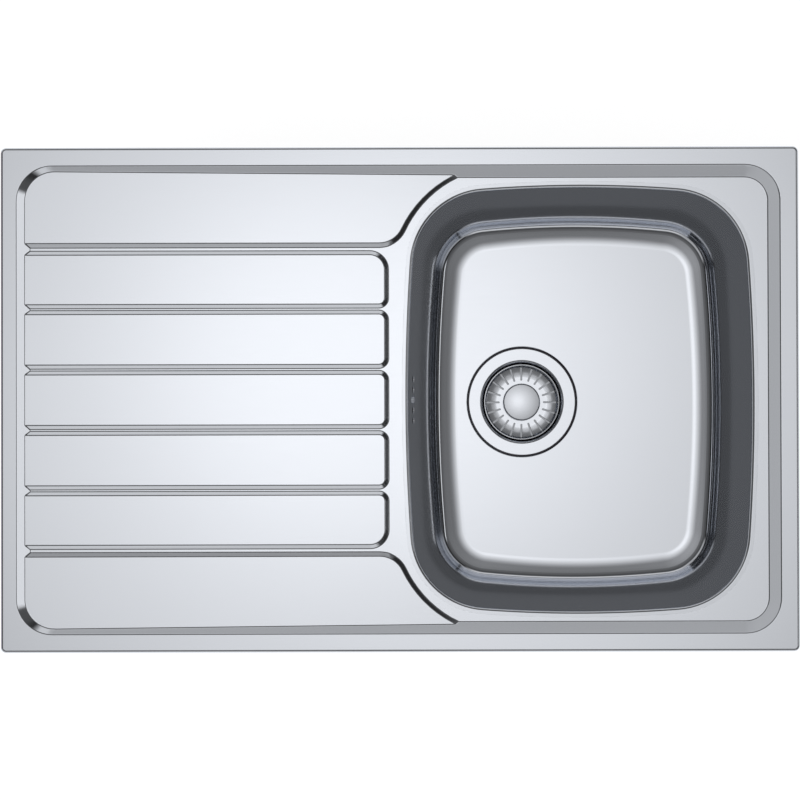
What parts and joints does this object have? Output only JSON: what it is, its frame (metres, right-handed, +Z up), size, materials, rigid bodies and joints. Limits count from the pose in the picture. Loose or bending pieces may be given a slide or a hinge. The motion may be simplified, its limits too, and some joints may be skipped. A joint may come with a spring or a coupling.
{
  "type": "kitchen sink with drainboard",
  "caption": "Inset stainless-steel kitchen sink with a rounded deep bowl, a grooved drainboard, a basket strainer, an overflow with hose, and clamps under its rim.",
  "frame": {"origin": "centre of the rim's seating plane, level with the worktop's surface", "axes": "+X from the drainboard to the bowl, +Y to the rear, +Z up out of the worktop"},
  "size_m": [0.79, 0.5, 0.2447],
  "materials": {
    "sheet_steel": "satin",
    "polished_steel": "polished",
    "zinc_steel": "zinc plated",
    "white_plastic": "moulded",
    "grey_plastic": "moulded, ribbed",
    "black_rubber": "matte",
    "foam_rubber": "closed-cell foam",
    "damping_pad": "matte sheet"
  },
  "bodies": {
    "sink": {"drainboard_deck": "sheet_steel", "bowl": "sheet_steel", "overflow_gasket": "black_rubber", "overflow_housing": "white_plastic", "overflow_screw": "polished_steel", "overflow_hose": "grey_plastic", "hose_washer_upper": "black_rubber", "hose_washer_lower": "black_rubber", "hose_nut_upper": "white_plastic", "hose_nut_lower": "white_plastic", "strainer_cup": "polished_steel", "cup_gasket": "black_rubber", "body_gasket": "black_rubber", "waste_body": "white_plastic", "waste_screw": "polished_steel", "rim_seal": "foam_rubber", "bowl_sound_pad": "damping_pad", "drainboard_sound_pads": "damping_pad", "clamp_brackets": "zinc_steel"},
    "basket_set": {"basket": "polished_steel", "basket_cap": "polished_steel", "basket_stem": "polished_steel", "basket_seal": "black_rubber"},
    "clamp_screw_1": {"clamp_screw_1": "zinc_steel"},
    "clamp_hook_1": {"clamp_hook_1": "zinc_steel"},
    "clamp_screw_2": {"clamp_screw_2": "zinc_steel"},
    "clamp_hook_2": {"clamp_hook_2": "zinc_steel"},
    "clamp_screw_3": {"clamp_screw_3": "zinc_steel"},
    "clamp_hook_3": {"clamp_hook_3": "zinc_steel"},
    "clamp_screw_4": {"clamp_screw_4": "zinc_steel"},
    "clamp_hook_4": {"clamp_hook_4": "zinc_steel"},
    "clamp_screw_5": {"clamp_screw_5": "zinc_steel"},
    "clamp_hook_5": {"clamp_hook_5": "zinc_steel"},
    "clamp_screw_6": {"clamp_screw_6": "zinc_steel"},
    "clamp_hook_6": {"clamp_hook_6": "zinc_steel"},
    "clamp_screw_7": {"clamp_screw_7": "zinc_steel"},
    "clamp_hook_7": {"clamp_hook_7": "zinc_steel"},
    "clamp_screw_8": {"clamp_screw_8": "zinc_steel"},
    "clamp_hook_8": {"clamp_hook_8": "zinc_steel"}
  },
  "joints": [
    {"name": "basket_lift", "type": "slide", "parent": "sink", "child": "basket_set", "axis": [0, 0, 1], "range_m": [0, 0.18]},
    {"name": "clamp_1_tighten", "type": "slide", "parent": "sink", "child": "clamp_screw_1", "axis": [0, 0, 1], "range_m": [0, 0.012]},
    {"name": "clamp_1_swivel", "type": "hinge", "parent": "clamp_screw_1", "child": "clamp_hook_1", "pos_m": [-0.27, 0.223, -0.049], "axis": [0, 0, 1], "range_deg": [0, 90]},
    {"name": "clamp_2_tighten", "type": "slide", "parent": "sink", "child": "clamp_screw_2", "axis": [0, 0, 1], "range_m": [0, 0.012]},
    {"name": "clamp_2_swivel", "type": "hinge", "parent": "clamp_screw_2", "child": "clamp_hook_2", "pos_m": [-0.03, 0.223, -0.049], "axis": [0, 0, 1], "range_deg": [0, 90]},
    {"name": "clamp_3_tighten", "type": "slide", "parent": "sink", "child": "clamp_screw_3", "axis": [0, 0, 1], "range_m": [0, 0.012]},
    {"name": "clamp_3_swivel", "type": "hinge", "parent": "clamp_screw_3", "child": "clamp_hook_3", "pos_m": [0.27, 0.223, -0.049], "axis": [0, 0, 1], "range_deg": [0, 90]},
    {"name": "clamp_4_tighten", "type": "slide", "parent": "sink", "child": "clamp_screw_4", "axis": [0, 0, 1], "range_m": [0, 0.012]},
    {"name": "clamp_4_swivel", "type": "hinge", "parent": "clamp_screw_4", "child": "clamp_hook_4", "pos_m": [0.368, 0, -0.049], "axis": [0, 0, 1], "range_deg": [0, 90]},
    {"name": "clamp_5_tighten", "type": "slide", "parent": "sink", "child": "clamp_screw_5", "axis": [0, 0, 1], "range_m": [0, 0.012]},
    {"name": "clamp_5_swivel", "type": "hinge", "parent": "clamp_screw_5", "child": "clamp_hook_5", "pos_m": [0.27, -0.223, -0.049], "axis": [0, 0, 1], "range_deg": [0, 90]},
    {"name": "clamp_6_tighten", "type": "slide", "parent": "sink", "child": "clamp_screw_6", "axis": [0, 0, 1], "range_m": [0, 0.012]},
    {"name": "clamp_6_swivel", "type": "hinge", "parent": "clamp_screw_6", "child": "clamp_hook_6", "pos_m": [-0.03, -0.223, -0.049], "axis": [0, 0, 1], "range_deg": [0, 90]},
    {"name": "clamp_7_tighten", "type": "slide", "parent": "sink", "child": "clamp_screw_7", "axis": [0, 0, 1], "range_m": [0, 0.012]},
    {"name": "clamp_7_swivel", "type": "hinge", "parent": "clamp_screw_7", "child": "clamp_hook_7", "pos_m": [-0.27, -0.223, -0.049], "axis": [0, 0, 1], "range_deg": [0, 90]},
    {"name": "clamp_8_tighten", "type": "slide", "parent": "sink", "child": "clamp_screw_8", "axis": [0, 0, 1], "range_m": [0, 0.012]},
    {"name": "clamp_8_swivel", "type": "hinge", "parent": "clamp_screw_8", "child": "clamp_hook_8", "pos_m": [-0.368, 0, -0.049], "axis": [0, 0, 1], "range_deg": [0, 90]}
  ]
}
